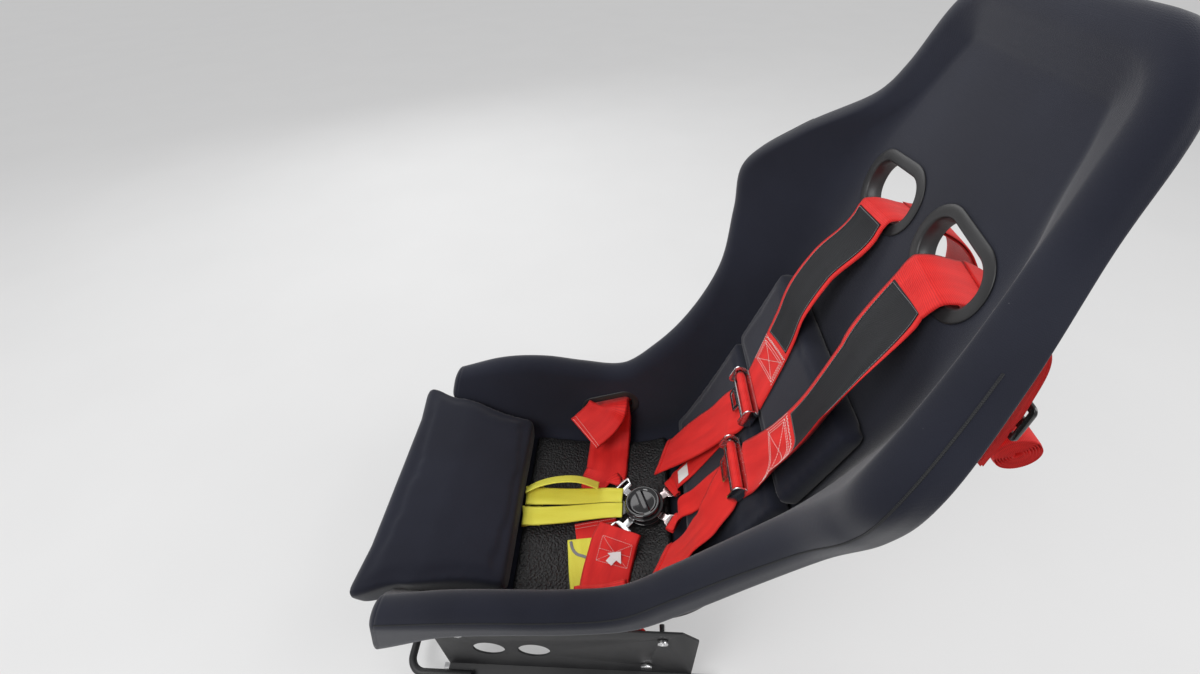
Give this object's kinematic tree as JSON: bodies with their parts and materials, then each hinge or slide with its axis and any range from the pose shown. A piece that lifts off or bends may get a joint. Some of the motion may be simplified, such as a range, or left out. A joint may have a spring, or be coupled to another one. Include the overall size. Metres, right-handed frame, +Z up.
{
  "type": "racing bucket seat with harness",
  "caption": "Fixed-back racing bucket seat with a buckled multi-point harness, on side brackets and floor slide rails.",
  "frame": {"origin": "centre of the bounding box's foot print, on the floor under the rails", "axes": "+X to the sitter's left, -Y the way the seat faces, +Z up"},
  "size_m": [0.574, 0.8432, 0.8868],
  "materials": {
    "upholstery": "stretch knit over foam, matt",
    "grained_vinyl": "grained, satin",
    "composite": "moulded composite, satin outside",
    "slot_plastic": "satin",
    "webbing_red": "woven webbing",
    "webbing_yellow": "woven webbing",
    "plated_steel": "bright plating",
    "buckle_black": "black anodised, satin",
    "rail_steel": "zinc plated",
    "bracket_black": "powder coated, satin"
  },
  "bodies": {
    "rails": {"lower_rail_left": "rail_steel", "lower_rail_right": "rail_steel"},
    "seat": {"head_roll": "upholstery", "shell": "composite", "bolster_left": "upholstery", "bolster_right": "upholstery", "middle_cover": "upholstery", "shoulder_slot_trim_left": "slot_plastic", "shoulder_slot_trim_right": "slot_plastic", "lap_slot_trim_left": "slot_plastic", "lap_slot_trim_right": "slot_plastic", "crotch_slot_trim": "slot_plastic", "thigh_cushion": "upholstery", "base_pad": "grained_vinyl", "lumbar_cushion": "upholstery", "back_cushion": "upholstery", "side_bracket_left": "bracket_black", "upper_rail_left": "rail_steel", "side_bracket_right": "bracket_black", "upper_rail_right": "rail_steel", "side_bolt_front_left": "plated_steel", "side_bolt_rear_left": "plated_steel", "side_bolt_front_right": "plated_steel", "side_bolt_rear_right": "plated_steel", "release_bar": "rail_steel", "buckle_body": "buckle_black", "buckle_cap": "buckle_black", "shoulder_tongue_right": "plated_steel", "shoulder_tongue_left": "plated_steel", "lap_tongue_right": "plated_steel", "lap_tongue_left": "plated_steel", "crotch_tongue": "plated_steel", "shoulder_belt_right": "webbing_red", "adjuster_right": "plated_steel", "shoulder_tail_right": "webbing_red", "lower_strap_right": "webbing_red", "shoulder_belt_left": "webbing_red", "adjuster_left": "plated_steel", "shoulder_tail_left": "webbing_red", "lower_strap_left": "webbing_red", "lap_belt_left": "webbing_red", "lap_belt_right": "webbing_red", "lap_tail_right": "webbing_red", "lap_end_plate_left": "plated_steel", "lap_bolt_left": "plated_steel", "lap_end_plate_right": "plated_steel", "lap_bolt_right": "plated_steel", "crotch_strap_left": "webbing_yellow", "crotch_end_plate_left": "plated_steel", "crotch_strap_right": "webbing_yellow", "crotch_end_plate_right": "plated_steel", "rear_belt_left": "webbing_red", "three_bar_slide_left": "buckle_black", "spare_roll_left": "webbing_red", "rear_belt_right": "webbing_red", "three_bar_slide_right": "buckle_black", "spare_roll_right": "webbing_red"}
  },
  "joints": [
    {"name": "seat_slide", "type": "slide", "parent": "rails", "child": "seat", "axis": [0, 1, 0], "range_m": [-0.09, 0.09]}
  ]
}
